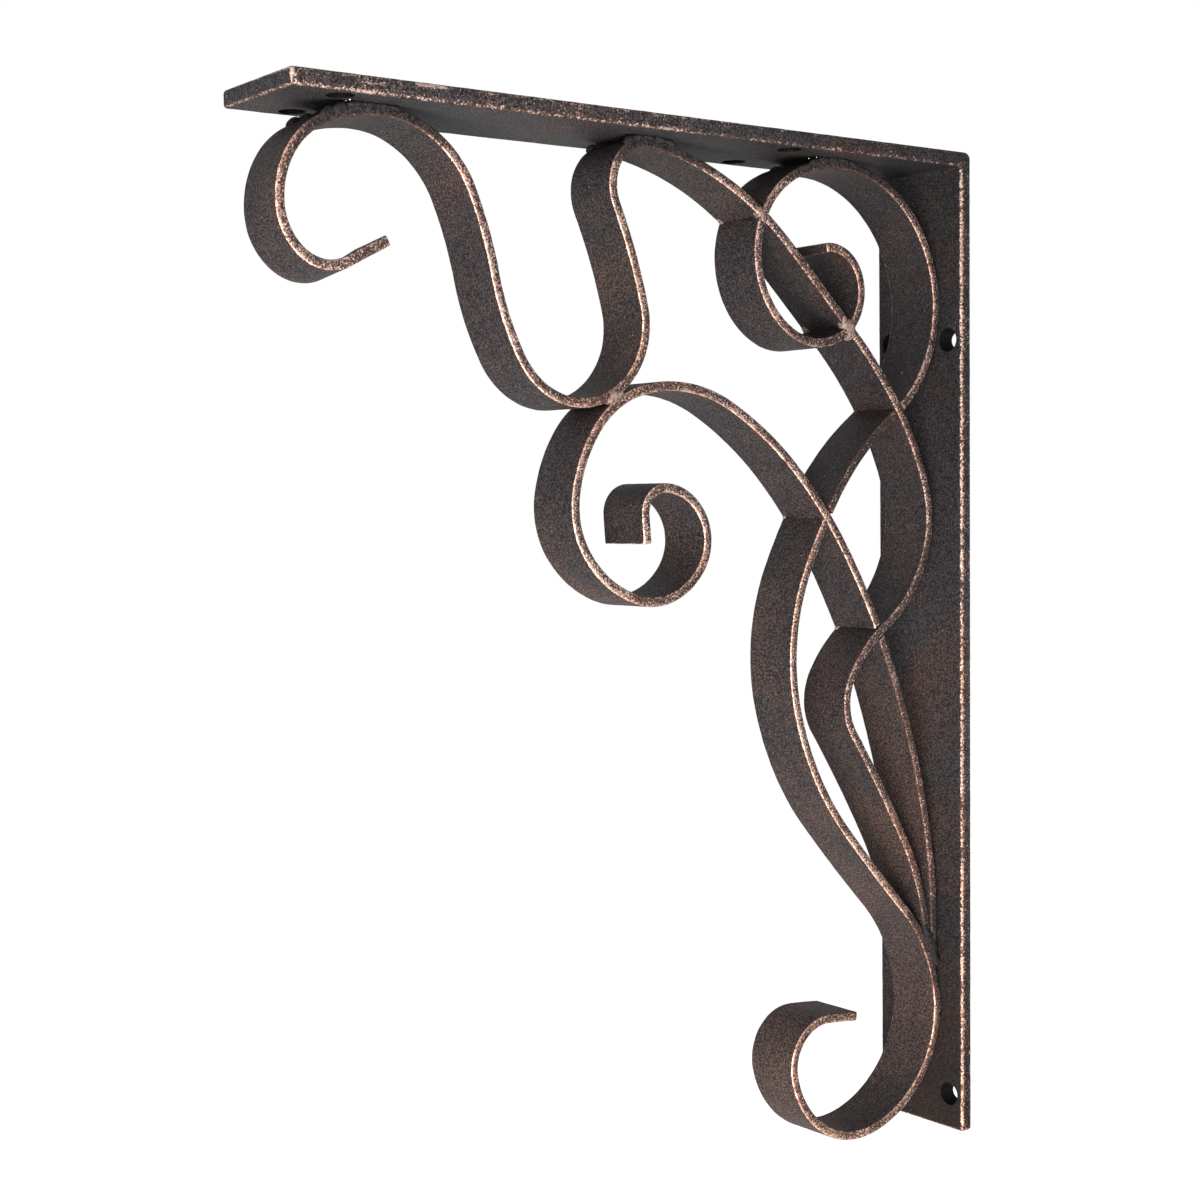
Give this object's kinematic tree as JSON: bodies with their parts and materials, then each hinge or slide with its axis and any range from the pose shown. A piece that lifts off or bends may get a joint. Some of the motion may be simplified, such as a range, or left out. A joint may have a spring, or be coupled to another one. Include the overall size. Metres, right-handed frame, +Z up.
{
  "type": "scroll wall bracket",
  "caption": "Wall bracket of flat bar bent square, its corner braced by welded scrolls of narrower flat bar, with screw holes in both legs.",
  "frame": {"origin": "on the wall face, midway across and at mid height", "axes": "+X goes into the wall, the arm reaches along -X, +Z is up and is the way the load face looks, Y runs across the bars"},
  "size_m": [0.2543, 0.0382, 0.3302],
  "materials": {
    "angle_frame": "dark bronzed steel, satin, fine grain, edges rubbed to copper",
    "front_scroll": "dark bronzed steel, satin, fine grain, edges rubbed to copper",
    "loop_link": "dark bronzed steel, satin, fine grain, edges rubbed to copper",
    "waved_stay": "dark bronzed steel, satin, fine grain, edges rubbed to copper",
    "upper_spiral": "dark bronzed steel, satin, fine grain, edges rubbed to copper",
    "cross_link": "dark bronzed steel, satin, fine grain, edges rubbed to copper",
    "lower_scroll": "dark bronzed steel, satin, fine grain, edges rubbed to copper",
    "middle_spiral": "dark bronzed steel, satin, fine grain, edges rubbed to copper",
    "lower_stay": "dark bronzed steel, satin, fine grain, edges rubbed to copper"
  },
  "bodies": {
    "root": {"angle_frame": "angle_frame", "front_scroll": "front_scroll", "loop_link": "loop_link", "waved_stay": "waved_stay", "upper_spiral": "upper_spiral", "cross_link": "cross_link", "lower_scroll": "lower_scroll", "middle_spiral": "middle_spiral", "lower_stay": "lower_stay"}
  },
  "joints": []
}
